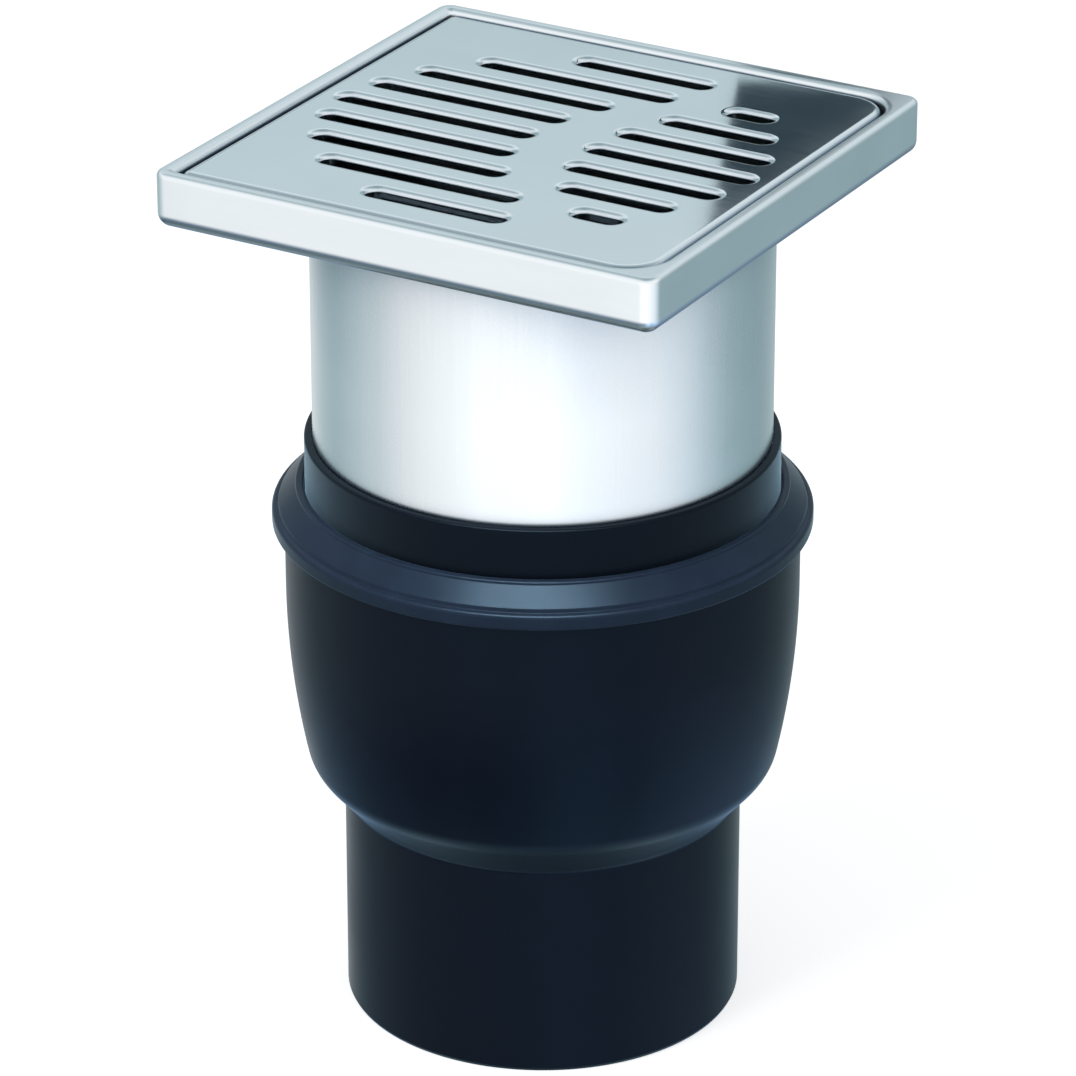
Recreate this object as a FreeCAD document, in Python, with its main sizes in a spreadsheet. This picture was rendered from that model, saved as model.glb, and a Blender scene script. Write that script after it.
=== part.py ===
"""Floor gully trap: a square stainless grating in a welded frame and riser tube, which slides and
turns in the rubber seal of a black moulded body. A funnel with a dip tube and a hanging cup inside the
body hold the water that keeps drain air out. Millimetres, +Z up, origin at the centre of the outlet
spigot's lower end.
"""
import FreeCAD
import Part
import Sketcher
import math
import os

SIZES = {
    # outlet spigot and bulb of the moulded body, measured outside
    "shoulder_step": 9.6,
    "spigot_wall": 3.2,
    "spigot_length": 62.0,
    "spigot_lead_length": 1.0,
    "spigot_lead_depth": 0.5,
    "bulb_straight": 23.2,
    "bulb_taper": 5.85,
    "shoulder_rise": 9.2,
    "shoulder_round": 5.0,
    "neck_round": 2.0,
    "body_height": 148.2,
    # the body inside: socket for the seal, seat for the trap
    "socket_wall": 3.25,
    "socket_depth": 9.8,
    "seal_ledge": 1.3,
    "seat_wall": 4.3,
    "seat_height": 9.5,
    "seat_lead": 3.0,
    "seat_ledge": 3.0,
    "seat_rise": 11.0,
    # ring that snaps over the socket's end
    "rim_width": 3.4,
    "rim_height": 3.1,
    "rim_drop": 4.5,
    "rim_round": 1.25,
    "rim_foot_round": 0.5,
    "rim_ledge": 1.65,
    "slope_foot_rise": 1.1,
    "slope_foot_run": 0.275,
    "lip_width": 2.42,
    "lip_rise": 6.6,
    "lip_round": 0.8,
    "lip_outer_round": 0.72,
    "collar_gap": 0.2,
    "ring_cap": 2.1,
    "snap_depth": 0.5,
    "snap_height": 1.2,
    "snap_gap": 0.1,
    # rubber seal with the collar that grips the riser
    "seal_gap": 0.3,
    "seal_foot": 2.42,
    "slide_gap": 0.08,
    "collar_wall": 2.2,
    "collar_height": 18.5,
    "collar_round": 0.7,
    "collar_grip": 3.0,
    "groove_depth": 0.8,
    "groove_pitch": 4.6,
    "wiper_height": 1.0,
    # riser: tube welded under the frame
    "tube_outer": 125.0,
    "tube_wall": 1.5,
    "tube_insertion": 12.4,
    "weld": 1.5,
    "extension": 70.4,
    "frame_overhang": 12.5,
    "frame_height": 15.6,
    "frame_wall": 4.5,
    "frame_floor": 2.0,
    "frame_corner": 4.2,
    "frame_inner_corner": 0.5,
    "frame_top_round": 1.5,
    "frame_inner_round": 2.0,
    "frame_foot_round": 4.0,
    # pressed grating
    "grating_gap": 1.0,
    "grating_drop": 0.9,
    "grating_sheet": 1.5,
    "grating_corner": 11.0,
    "grating_square_corner": 2.2,
    "grating_round": 2.0,
    "slot_pitch": 13.85,
    "slot_width": 6.0,
    "slot_round": 1.6,
    "slot_least": 17.0,
    "slot_margin": 4.34,
    "slot_crown": 5.8,
    "land_width": 13.9,
    "land_offset": 1.5,
    "land_round": 54.3,
    "lip_depth": 3.2,
    # trap: funnel with dip tube, fins and grip, hanging cup, ring seal
    "rim_gap": 0.5,
    "flange_height": 6.1,
    "flange_width": 4.7,
    "ring_section": 3.0,
    "ring_gap": 0.05,
    "funnel_sheet": 2.6,
    "funnel_fall": 3.6,
    "mouth_round": 4.0,
    "dip_bore": 50.0,
    "dip_wall": 2.0,
    "water_seal": 50.0,
    "overflow_gap": 7.3,
    "outlet_gap": 9.8,
    "cup_wall": 2.4,
    "cup_floor": 2.0,
    "dip_clearance": 11.0,
    "cup_foot_round": 4.0,
    "fin_thickness": 2.0,
    "fin_gap": 0.1,
    "fin_start": 4.0,
    "fin_lead": 1.8,
    "catch_depth": 0.8,
    "catch_height": 3.0,
    "catch_drop": 5.0,
    "grip_span": 72.0,
    "grip_height": 20.0,
    "grip_bar": 3.0,
    "grip_width": 9.0,
    "grip_slant": 8.0,
}

WIPERS = 2
FINS = 4
LOOSE = 1e-4

doc = FreeCAD.newDocument("gully_trap")
sheet = doc.addObject("Spreadsheet::Sheet", "sizes")
bodies = []


class Length:
    """A size held as its value and as the expression that gives it, so that a sketch is drawn where
    its constraints will hold it."""

    def __init__(self, value, text):
        self.value = value
        self.text = text

    def combine(self, other, sign, value):
        text = other.text if isinstance(other, Length) else repr(float(other))
        return Length(value, "(%s %s %s)" % (self.text, sign, text))

    def __add__(self, other):
        return self.combine(other, "+", self.value + number(other))

    def __sub__(self, other):
        return self.combine(other, "-", self.value - number(other))

    def __mul__(self, other):
        return self.combine(other, "*", self.value * number(other))

    def __truediv__(self, other):
        return self.combine(other, "/", self.value / number(other))

    def __neg__(self):
        return self * -1

    def root(self):
        return Length(math.sqrt(self.value), "sqrt(%s)" % self.text)

    def or_more(self, other):
        return Length(max(self.value, other.value), "max(%s; %s)" % (self.text, other.text))


def number(entry):
    return entry.value if isinstance(entry, Length) else float(entry)


def size(name):
    return Length(float(sheet.get(name)), "sizes." + name)


def fill_sheet():
    for row, (name, value) in enumerate(SIZES.items(), start=1):
        sheet.set("A%d" % row, name)
        sheet.set("B%d" % row, str(value))
        sheet.setAlias("B%d" % row, name)
    doc.recompute()


def new_body(label, height):
    """A body with its own label, lifted to its height over the spigot's end."""
    body = doc.addObject("PartDesign::Body", label)
    body.Label = label
    if height is not None:
        body.setExpression("Placement.Base.z", height.text)
    bodies.append(body)
    return body


def new_sketch(body, name, role, height=None):
    """A sketch on one of the body's own planes, moved along the plane's normal by height."""
    sketch = body.newObject("Sketcher::SketchObject", name)
    planes = [item for item in body.Origin.OriginFeatures if item.Role == role]
    sketch.AttachmentSupport = [(planes[0], "")]
    sketch.MapMode = "FlatFace"
    if height is not None:
        sketch.setExpression("AttachmentOffset.Base.z", height.text)
    doc.recompute()
    return sketch


def bind(sketch, constraint, length):
    """Add a constraint whose value is the length and stays bound to it."""
    index = sketch.addConstraint(Sketcher.Constraint(*constraint, length.value))
    name = "bound%d" % index
    sketch.renameConstraint(index, name)
    sketch.setExpression("Constraints." + name, length.text)


def hold(sketch, curve, point, x, y):
    """Hold one point of a curve at x and y from the sketch's origin."""
    for kind, axis, place in (("DistanceX", -2, x), ("DistanceY", -1, y)):
        if not isinstance(place, Length):
            sketch.addConstraint(Sketcher.Constraint("PointOnObject", curve, point, axis))
            continue
        bind(sketch, (kind, -1, 1, curve, point), place)


def arc_centre(start, end, centre_y):
    """The x of the centre, at height centre_y, of the arc from start to end."""
    dx = end[0] - start[0]
    middle = (start[0] + end[0]) / 2
    lean = (end[1] - start[1]) * ((start[1] + end[1]) / 2 - centre_y) / dx
    return middle + lean


def outline(body, name, role, points):
    """A closed outline. Each point is (x, y), both Lengths or 0 on an axis. A third value, the height of
    an arc's centre, makes the edge that ends there an arc that bulges to the right."""
    sketch = new_sketch(body, name, role)
    flat = [(number(point[0]), number(point[1])) for point in points]
    ends = []
    for index, start in enumerate(flat):
        following = (index + 1) % len(points)
        end = flat[following]
        if len(points[following]) == 2:
            sketch.addGeometry(Part.LineSegment(FreeCAD.Vector(*start, 0), FreeCAD.Vector(*end, 0)))
            ends.append((1, 2))
            continue
        low, high = sorted((start, end), key=lambda place: place[1])
        centre_y = points[following][2].value
        centre = FreeCAD.Vector(arc_centre(start, end, centre_y), centre_y, 0)
        radius = math.hypot(low[0] - centre.x, low[1] - centre.y)
        angles = [math.atan2(place[1] - centre.y, place[0] - centre.x) for place in (low, high)]
        circle = Part.Circle(centre, FreeCAD.Vector(0, 0, 1), radius)
        sketch.addGeometry(Part.ArcOfCircle(circle, *angles))
        ends.append((1, 2) if low == start else (2, 1))
    for index, point in enumerate(points):
        before = (index - 1) % len(points)
        join = Sketcher.Constraint("Coincident", before, ends[before][1], index, ends[index][0])
        sketch.addConstraint(join)
        hold(sketch, index, ends[index][0], point[0], point[1])
        if len(point) == 3:
            bind(sketch, ("DistanceY", -1, 1, before, 3), point[2])
    doc.recompute()
    return sketch


def revolve(body, sketch):
    turned = body.newObject("PartDesign::Revolution", sketch.Name + "_turned")
    turned.Profile = sketch
    turned.ReferenceAxis = (sketch, ["V_Axis"])
    turned.Angle = 360
    sketch.Visibility = False
    doc.recompute()
    return turned


def pad(body, sketch, length, midplane=False, reverse=False):
    block = body.newObject("PartDesign::Pad", sketch.Name + "_pad")
    block.Profile = sketch
    block.setExpression("Length", length.text)
    block.Midplane = midplane
    block.Reversed = reverse
    doc.recompute()
    return block


def pocket(body, sketch, length, reverse=False):
    """Cut the sketch's outline out of the body, and make sure that it took something away."""
    before = body.Shape.Volume
    cut = body.newObject("PartDesign::Pocket", sketch.Name + "_cut")
    cut.Profile = sketch
    cut.setExpression("Length", length.text)
    cut.Reversed = reverse
    doc.recompute()
    if body.Shape.Volume > before - 1:
        raise ValueError("%s cuts nothing" % cut.Name)
    return cut


def round_edges(body, base, name, radius, wanted):
    """Round those edges of the base feature that the test wanted picks."""
    names = ["Edge%d" % (place + 1) for place, edge in enumerate(base.Shape.Edges) if wanted(edge)]
    if not names:
        raise ValueError("no edge to round for " + name)
    fillet = body.newObject("PartDesign::Fillet", name)
    fillet.Base = (base, names)
    fillet.setExpression("Radius", radius.text)
    doc.recompute()
    if "Invalid" in fillet.State:
        raise ValueError("%s of %s fails" % (name, body.Label))
    return fillet


def ring_edge(radius, height):
    """A test for the round edge with this radius at this height."""
    def wanted(edge):
        level = abs(edge.BoundBox.ZMin - number(height)) + abs(edge.BoundBox.ZMax - number(height))
        return (edge.Curve.TypeId == "Part::GeomCircle" and level < LOOSE
                and abs(edge.Curve.Radius - number(radius)) < LOOSE)
    return wanted


def upright(edge):
    """A test for straight edges that stand along Z."""
    box = edge.BoundBox
    return box.ZLength > LOOSE and box.XLength < LOOSE and box.YLength < LOOSE


def right_hand(wanted):
    """A test for the edges on the right that another test picks, where the grating's corners are round."""
    return lambda edge: wanted(edge) and edge.BoundBox.XMin > 0


def left_hand(wanted):
    """A test for the edges on the left that another test picks, where the grating's corners are square."""
    return lambda edge: wanted(edge) and edge.BoundBox.XMax < 0


def level_edge(height):
    """A test for edges that lie flat at this height."""
    def wanted(edge):
        box = edge.BoundBox
        return abs(box.ZMin - number(height)) < LOOSE and abs(box.ZMax - number(height)) < LOOSE
    return wanted


def square(body, name, half, height=None):
    """A square outline about the origin, half as wide as half on each side."""
    sketch = new_sketch(body, name, "XY_Plane", height)
    corners = [(-half, -half), (half, -half), (half, half), (-half, half)]
    for index in range(4):
        start = [entry.value for entry in corners[index]]
        end = [entry.value for entry in corners[(index + 1) % 4]]
        sketch.addGeometry(Part.LineSegment(FreeCAD.Vector(*start, 0), FreeCAD.Vector(*end, 0)))
    for index in range(4):
        sketch.addConstraint(Sketcher.Constraint("Coincident", index, 2, (index + 1) % 4, 1))
        hold(sketch, index, 1, *corners[index])
    doc.recompute()
    return sketch


def disc(body, name, radius, height=None):
    sketch = new_sketch(body, name, "XY_Plane", height)
    sketch.addGeometry(Part.Circle(FreeCAD.Vector(0, 0, 0), FreeCAD.Vector(0, 0, 1), radius.value))
    sketch.addConstraint(Sketcher.Constraint("Coincident", 0, 3, -1, 1))
    bind(sketch, ("Radius", 0), radius)
    doc.recompute()
    return sketch


def draw_slot(sketch, left, right, level, radius):
    """One slot with round ends: two half circles and the two lines between them."""
    start = sketch.GeometryCount
    up = FreeCAD.Vector(0, 0, 1)
    middle = number(level)
    near = Part.Circle(FreeCAD.Vector(left.value, middle, 0), up, radius.value)
    far = Part.Circle(FreeCAD.Vector(right.value, middle, 0), up, radius.value)
    sketch.addGeometry(Part.ArcOfCircle(near, math.pi / 2, math.pi * 3 / 2))
    sketch.addGeometry(Part.ArcOfCircle(far, -math.pi / 2, math.pi / 2))
    for side in (-1, 1):
        y = middle + side * radius.value
        ends = [FreeCAD.Vector(left.value, y, 0), FreeCAD.Vector(right.value, y, 0)]
        sketch.addGeometry(Part.LineSegment(*ends))
    joins = [(0, 2, 2, 1), (2, 2, 1, 1), (0, 1, 3, 1), (3, 2, 1, 2)]
    for first, first_end, second, second_end in joins:
        join = Sketcher.Constraint("Tangent", start + first, first_end, start + second, second_end)
        sketch.addConstraint(join)
    hold(sketch, start, 3, left, level)
    hold(sketch, start + 1, 3, right, level)
    bind(sketch, ("Radius", start), radius)


def slots_in_row(level):
    """The ends of the slots whose middle line lies at this distance from the grating's own. They stop at
    a circle, and a land that follows an arc parts them, except in a row outside that arc. A short slot
    beside the land keeps its least length."""
    field = grating_half - size("slot_margin")
    line = level + size("slot_crown")
    if line.value >= field.value:
        return []
    chord = (field * field - line * line).root()
    if chord.value * 2 < SIZES["slot_least"]:
        return []
    if level.value >= SIZES["land_round"]:
        return [(-chord, chord)]
    bend = size("land_round")
    land = bend - size("land_offset") - (bend * bend - level * level).root()
    far = land + size("land_width")
    slots = [(-chord, land)]
    if far.value + SIZES["slot_least"] < field.value:
        slots.append((far, chord.or_more(far + size("slot_least"))))
    return slots


def slot_field(body, name, height, margin=None):
    """All slots of the grating, each wider by the margin all round than the clear opening."""
    sketch = new_sketch(body, name, "XY_Plane", height)
    radius = size("slot_width") / 2
    inset = radius + size("slot_round")
    if margin is not None:
        radius = radius + margin
    row = 0
    slots = slots_in_row(size("slot_pitch") * row)
    while slots:
        for left, right in slots:
            for side in sorted({-row, row}):
                level = size("slot_pitch") * side if side else 0
                draw_slot(sketch, left + inset, right - inset, level, radius)
        row += 1
        slots = slots_in_row(size("slot_pitch") * row)
    doc.recompute()
    return sketch


fill_sheet()

# Heights over the spigot's end that more than one piece takes.
shoulder_top = size("spigot_length") + size("shoulder_rise")
seal_seat = size("body_height") - size("socket_depth")
trap_seat = size("spigot_length") + size("seat_rise")
rim_foot = size("body_height") - size("rim_drop")
snap_level = size("body_height") - size("rim_drop") / 2
ring_ceiling = size("body_height") + size("ring_cap")
collar_top = ring_ceiling - size("seal_gap") + size("collar_height")
frame_base = collar_top + size("extension")

# Radii, from the riser outwards and from the bulb inwards.
tube_radius = size("tube_outer") / 2
tube_bore = tube_radius - size("tube_wall")
grip_radius = tube_radius + size("slide_gap")
collar_radius = grip_radius + size("collar_wall")
socket_radius = collar_radius + size("seal_foot")
seal_radius = socket_radius - size("seal_gap")
bulb_radius = socket_radius + size("socket_wall")
foot_radius = bulb_radius - size("bulb_taper")
seat_radius = foot_radius - size("seat_wall")
spigot_radius = foot_radius - size("shoulder_step")
spigot_bore = spigot_radius - size("spigot_wall")
cup_radius = spigot_bore - size("outlet_gap")
cup_bore = cup_radius - size("cup_wall")
frame_half = tube_radius + size("frame_overhang")
grating_half = frame_half - size("frame_wall") - size("grating_gap")


def make_body():
    """Body: spigot, conical shoulder and bulb turned in one outline, with a snap bead and a socket for
    the seal at the top, and a seat with a lead-in for the trap above the outlet."""
    body = new_body("gully_body", None)
    seat_top = trap_seat + size("seat_height")
    lead = size("seat_lead")
    straight_foot = size("body_height") - size("bulb_straight")
    bead = size("snap_height") / 2
    bead_radius = bulb_radius + size("snap_depth")
    points = [
        (spigot_bore, 0),
        (spigot_radius - size("spigot_lead_depth"), 0),
        (spigot_radius, size("spigot_lead_length")),
        (spigot_radius, size("spigot_length")),
        (foot_radius, shoulder_top),
        (bulb_radius, straight_foot, straight_foot),
        (bulb_radius, snap_level - bead),
        (bead_radius, snap_level - bead + size("snap_depth")),
        (bead_radius, snap_level),
        (bulb_radius, snap_level + bead),
        (bulb_radius, size("body_height")),
        (socket_radius, size("body_height")),
        (socket_radius, seal_seat),
        (socket_radius - size("seal_ledge"), seal_seat),
        (socket_radius - size("seal_ledge"), straight_foot),
        (seat_radius + lead, seat_top + lead, straight_foot),
        (seat_radius, seat_top),
        (seat_radius, trap_seat),
        (seat_radius - size("seat_ledge"), trap_seat),
        (spigot_bore, size("spigot_length") + size("spigot_wall") / 2),
    ]
    turned = revolve(body, outline(body, "body_outline", "XZ_Plane", points))
    shoulder = round_edges(body, turned, "shoulder_fillet", size("shoulder_round"),
                           ring_edge(foot_radius, shoulder_top))
    round_edges(body, shoulder, "neck_fillet", size("neck_round"),
                ring_edge(spigot_radius, size("spigot_length")))


def make_clamp_ring():
    """Ring snapped over the socket's end: a rounded rim, a slope up to a lip round the collar, and
    inside it a grooved skirt outside the socket and a ceiling over the seal."""
    body = new_body("clamp_ring", rim_foot)
    rim = bulb_radius + size("rim_width")
    slope = rim - size("rim_ledge")
    lip_top = size("rim_drop") + size("lip_rise")
    rim_top = size("rim_height") + size("rim_round")
    skirt = bulb_radius + size("snap_gap")
    groove = skirt + size("snap_depth")
    bead = size("snap_height") / 2 + size("snap_gap")
    bead_level = snap_level - rim_foot
    hole = collar_radius + size("collar_gap")
    lip = hole + size("lip_width")
    ceiling = size("rim_drop") + size("ring_cap")
    points = [
        (skirt, 0),
        (rim, 0),
        (rim, rim_top),
        (slope, rim_top),
        (slope - size("slope_foot_run"), rim_top + size("slope_foot_rise")),
        (lip, lip_top - size("lip_round")),
        (lip, lip_top),
        (hole, lip_top),
        (hole, ceiling),
        (socket_radius, ceiling),
        (socket_radius, size("rim_drop")),
        (skirt, size("rim_drop")),
        (skirt, bead_level + bead),
        (groove, bead_level + size("snap_gap")),
        (groove, bead_level - bead + size("snap_depth")),
        (skirt, bead_level - bead),
    ]
    turned = revolve(body, outline(body, "ring_outline", "XZ_Plane", points))
    top = round_edges(body, turned, "rim_fillet", size("rim_round"), ring_edge(rim, rim_top))
    foot = round_edges(body, top, "rim_foot_fillet", size("rim_foot_round"), ring_edge(rim, 0))
    inner = round_edges(body, foot, "lip_fillet", size("lip_round"), ring_edge(hole, lip_top))
    round_edges(body, inner, "lip_outer_fillet", size("lip_outer_round"), ring_edge(lip, lip_top))


def make_seal():
    """Rubber seal: a thick foot in the socket, relieved inside so that two wipers bear on the riser,
    and a thin collar that stands up round the tube and grips it at the top."""
    foot = seal_seat + size("seal_gap")
    body = new_body("riser_seal", foot)
    shoulder = ring_ceiling - size("seal_gap") - foot
    top = collar_top - foot
    relief = grip_radius + size("groove_depth")
    points = [
        (seal_radius, 0),
        (seal_radius, shoulder),
        (collar_radius, shoulder),
        (collar_radius, top),
        (grip_radius, top),
        (grip_radius, top - size("collar_grip")),
        (relief, top - size("collar_grip") - size("groove_depth")),
    ]
    half = size("wiper_height") / 2
    for place in range(WIPERS, 0, -1):
        level = size("groove_pitch") * place - size("groove_pitch") / 2
        points.append((relief, level + half + size("groove_depth")))
        points.append((grip_radius, level + half))
        points.append((grip_radius, level - half))
        points.append((relief, level - half - size("groove_depth")))
    points.append((relief, 0))
    turned = revolve(body, outline(body, "seal_outline", "XZ_Plane", points))
    round_edges(body, turned, "collar_fillet", size("collar_round"), ring_edge(collar_radius, top))
    return body


def make_tube():
    """Riser tube, from the weld under the frame down into the socket."""
    foot = seal_seat - size("tube_insertion")
    body = new_body("riser_tube", foot)
    top = frame_base - foot
    points = [
        (tube_bore, 0),
        (tube_radius, 0),
        (tube_radius, top - size("weld")),
        (tube_radius + size("weld"), top),
        (tube_bore, top),
    ]
    revolve(body, outline(body, "tube_outline", "XZ_Plane", points))


def make_frame():
    """Square tray with a solid rim, open over the riser's bore. Its well is round in the two corners
    where the grating is, so that the grating lies in it one way."""
    body = new_body("frame", frame_base)
    inner = frame_half - size("frame_wall")
    block = pad(body, square(body, "frame_outline", frame_half), size("frame_height"))
    corners = round_edges(body, block, "corner_fillet", size("frame_corner"), upright)
    top = round_edges(body, corners, "top_fillet", size("frame_top_round"),
                      level_edge(size("frame_height")))
    round_edges(body, top, "foot_fillet", size("frame_foot_round"), level_edge(0))
    well = square(body, "well_outline", inner, size("frame_floor"))
    hollow = pocket(body, well, size("frame_height"), reverse=True)
    reach = inner.value + LOOSE

    def inside(edge):
        box = edge.BoundBox
        return upright(edge) and max(abs(box.XMin), abs(box.YMin)) < reach

    def inner_rim(edge):
        box = edge.BoundBox
        within = max(abs(box.XMin), abs(box.XMax), abs(box.YMin), abs(box.YMax)) < reach
        return within and level_edge(size("frame_height"))(edge)

    well_corner = size("grating_corner") + size("grating_gap")
    keyed = round_edges(body, hollow, "well_fillet", well_corner, right_hand(inside))
    soft = round_edges(body, keyed, "inner_corner_fillet", size("frame_inner_corner"),
                       left_hand(inside))
    round_edges(body, soft, "inner_rim_fillet", size("frame_inner_round"), inner_rim)
    hole = disc(body, "riser_opening", tube_bore)
    pocket(body, hole, size("frame_floor"), reverse=True)


def make_grating():
    """Pressed grating: a sheet drawn down at its edge to stand on the frame's floor, with slots whose
    edges are rolled down into lips."""
    body = new_body("grating", frame_base + size("frame_floor"))
    height = size("frame_height") - size("frame_floor") - size("grating_drop")
    sheet_under = height - size("grating_sheet")
    block = pad(body, square(body, "grating_outline", grating_half), height)
    inside = square(body, "inside_outline", grating_half - size("grating_sheet"))
    hollow = pocket(body, inside, sheet_under, reverse=True)
    reach = grating_half.value - SIZES["grating_sheet"] + LOOSE

    def inner_corner(edge):
        box = edge.BoundBox
        return upright(edge) and max(abs(box.XMin), abs(box.YMin)) < reach

    def outer_corner(edge):
        box = edge.BoundBox
        return upright(edge) and min(abs(box.XMin), abs(box.YMin)) > reach

    step = hollow
    for side, corner in ((right_hand, "grating_corner"), (left_hand, "grating_square_corner")):
        step = round_edges(body, step, corner + "_inside", size(corner) - size("grating_sheet"),
                           side(inner_corner))
        step = round_edges(body, step, corner + "_outside", size(corner), side(outer_corner))
    round_edges(body, step, "edge_fillet", size("grating_round"), level_edge(height))
    lips = slot_field(body, "slot_lips", height - size("lip_depth"), size("grating_sheet"))
    pad(body, lips, size("lip_depth") - size("grating_sheet") / 2)
    openings = slot_field(body, "slot_openings", height - size("lip_depth"))
    cut = pocket(body, openings, size("lip_depth"), reverse=True)
    flat = grating_half.value - SIZES["grating_round"] - LOOSE

    def slot_edge(edge):
        box = edge.BoundBox
        within = max(abs(box.XMin), abs(box.XMax), abs(box.YMin), abs(box.YMax)) < flat
        return within and level_edge(height)(edge)

    round_edges(body, cut, "slot_fillet", size("slot_round"), slot_edge)


def make_funnel():
    """Trap funnel: a flange with a ring groove on the body's seat, a dish that falls to the mouth of
    the dip tube, fins that carry the cup and a grip to lift it out by."""
    body = new_body("trap_funnel", trap_seat)
    flange = seat_radius - size("rim_gap")
    groove_floor = seat_radius - size("ring_section") - size("ring_gap") * 2
    groove_half = size("ring_section") / 2 + size("ring_gap")
    groove_middle = size("flange_height") / 2
    inner = flange - size("flange_width")
    dip_foot = -(size("water_seal") + size("overflow_gap"))
    dip_bore = size("dip_bore") / 2
    dish_rim = size("flange_height") - size("funnel_sheet")
    dish_foot = dish_rim - size("funnel_fall")
    points = [
        (flange, 0),
        (flange, groove_middle - groove_half),
        (groove_floor, groove_middle - groove_half),
        (groove_floor, groove_middle + groove_half),
        (flange, groove_middle + groove_half),
        (flange, size("flange_height")),
        (inner, size("flange_height")),
        (inner, dish_rim),
        (dip_bore, dish_foot),
        (dip_bore, dip_foot),
        (dip_bore + size("dip_wall"), dip_foot),
        (dip_bore + size("dip_wall"), dish_foot - size("funnel_sheet")),
        (inner - size("flange_width"), 0),
    ]
    turned = revolve(body, outline(body, "funnel_outline", "XZ_Plane", points))
    round_edges(body, turned, "mouth_fillet", size("mouth_round"), ring_edge(dip_bore, dish_foot))
    make_fins(body, dip_foot + size("fin_start"), dish_foot - size("funnel_sheet") / 2)
    make_grip(body, dish_foot)


def make_fins(body, foot, top):
    """Fins round the dip tube. The cup's rim stands against their shoulders, and a catch on each
    snaps into the groove round the cup's wall."""
    root = (size("dip_bore") + size("dip_wall")) / 2
    shoulder = -size("overflow_gap")
    wall = cup_bore - size("fin_gap")
    catch = wall + size("catch_depth") - size("fin_gap")
    catch_level = shoulder - size("catch_drop")
    half = size("catch_height") / 2 - size("fin_gap")
    fin = outline(body, "fin_outline", "XZ_Plane", [
        (root, foot),
        (wall - size("fin_lead"), foot),
        (wall, foot + size("fin_lead")),
        (wall, catch_level - half),
        (catch, catch_level - half + size("catch_depth")),
        (catch, catch_level + half - size("catch_depth")),
        (wall, catch_level + half),
        (wall, shoulder),
        (cup_radius, shoulder),
        (cup_radius, top),
        (root, top),
    ])
    first = pad(body, fin, size("fin_thickness"), midplane=True)
    ring = body.newObject("PartDesign::PolarPattern", "fins")
    ring.Originals = [first]
    ring.Axis = (fin, ["V_Axis"])
    ring.Angle = 360
    ring.Occurrences = FINS
    body.Tip = ring
    doc.recompute()


def make_grip(body, foot):
    """Grip: a flat bar bent into an arch over the mouth, wide enough for two fingers."""
    half = size("grip_span") / 2
    bar = size("grip_bar")
    top = foot + size("grip_height")
    slant = size("grip_slant")
    inner_slant = slant - bar * (2 - math.sqrt(2))
    grip = outline(body, "grip_outline", "XZ_Plane", [
        (half, foot),
        (half, top - slant),
        (half - slant, top),
        (-half + slant, top),
        (-half, top - slant),
        (-half, foot),
        (-half + bar, foot),
        (-half + bar, top - bar - inner_slant),
        (-half + bar + inner_slant, top - bar),
        (half - bar - inner_slant, top - bar),
        (half - bar, top - bar - inner_slant),
        (half - bar, foot),
    ])
    pad(body, grip, size("grip_width"), midplane=True)


def make_cup():
    """Cup that hangs on the fins and holds the water round the dip tube's end, with a groove round
    its wall for their catches."""
    depth = size("water_seal") + size("dip_clearance") + size("cup_floor")
    body = new_body("trap_cup", trap_seat - size("overflow_gap") - depth)
    catch = cup_bore + size("catch_depth")
    catch_level = depth - size("catch_drop")
    half = size("catch_height") / 2
    points = [
        (0, 0),
        (cup_radius, 0),
        (cup_radius, depth),
        (cup_bore, depth),
        (cup_bore, catch_level + half),
        (catch, catch_level + half - size("catch_depth")),
        (catch, catch_level - half + size("catch_depth")),
        (cup_bore, catch_level - half),
        (cup_bore, size("cup_floor")),
        (0, size("cup_floor")),
    ]
    turned = revolve(body, outline(body, "cup_outline", "XZ_Plane", points))
    foot = round_edges(body, turned, "foot_fillet", size("cup_foot_round"), ring_edge(cup_radius, 0))
    round_edges(body, foot, "floor_fillet", size("cup_foot_round") - size("cup_wall"),
                ring_edge(cup_bore, size("cup_floor")))


def make_ring_seal():
    """Round rubber ring in the funnel's groove."""
    ring = doc.addObject("Part::Torus", "trap_ring")
    section = size("ring_section") / 2
    ring.setExpression("Radius1", (seat_radius - size("ring_gap") - section).text)
    ring.setExpression("Radius2", section.text)
    ring.setExpression("Placement.Base.z", (trap_seat + size("flange_height") / 2).text)
    bodies.append(ring)


def check():
    """Stop when a feature failed or a piece has no sound shape."""
    for item in doc.Objects:
        if "Invalid" in item.State or "Error" in item.State:
            raise ValueError("%s failed: %s" % (item.Name, item.State))
    for piece in bodies:
        if piece.Shape.isNull() or not piece.Shape.isValid():
            raise ValueError("%s has no valid shape" % piece.Label)
        print("%s: %d solid, %.0f mm3" % (piece.Label, len(piece.Shape.Solids), piece.Shape.Volume))


make_body()
make_clamp_ring()
make_seal()
make_tube()
make_frame()
make_grating()
make_funnel()
make_cup()
make_ring_seal()
doc.recompute()
check()
os.makedirs("parts", exist_ok=True)
for piece in bodies:
    piece.Shape.exportStep("parts/%s.step" % piece.Label)
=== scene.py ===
"""Surfaces, finishes, light and camera for a stainless floor gully on its black moulded trap body."""
import math

import bpy
import numpy as np
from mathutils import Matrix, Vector
from mathutils.geometry import delaunay_2d_cdt


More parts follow.
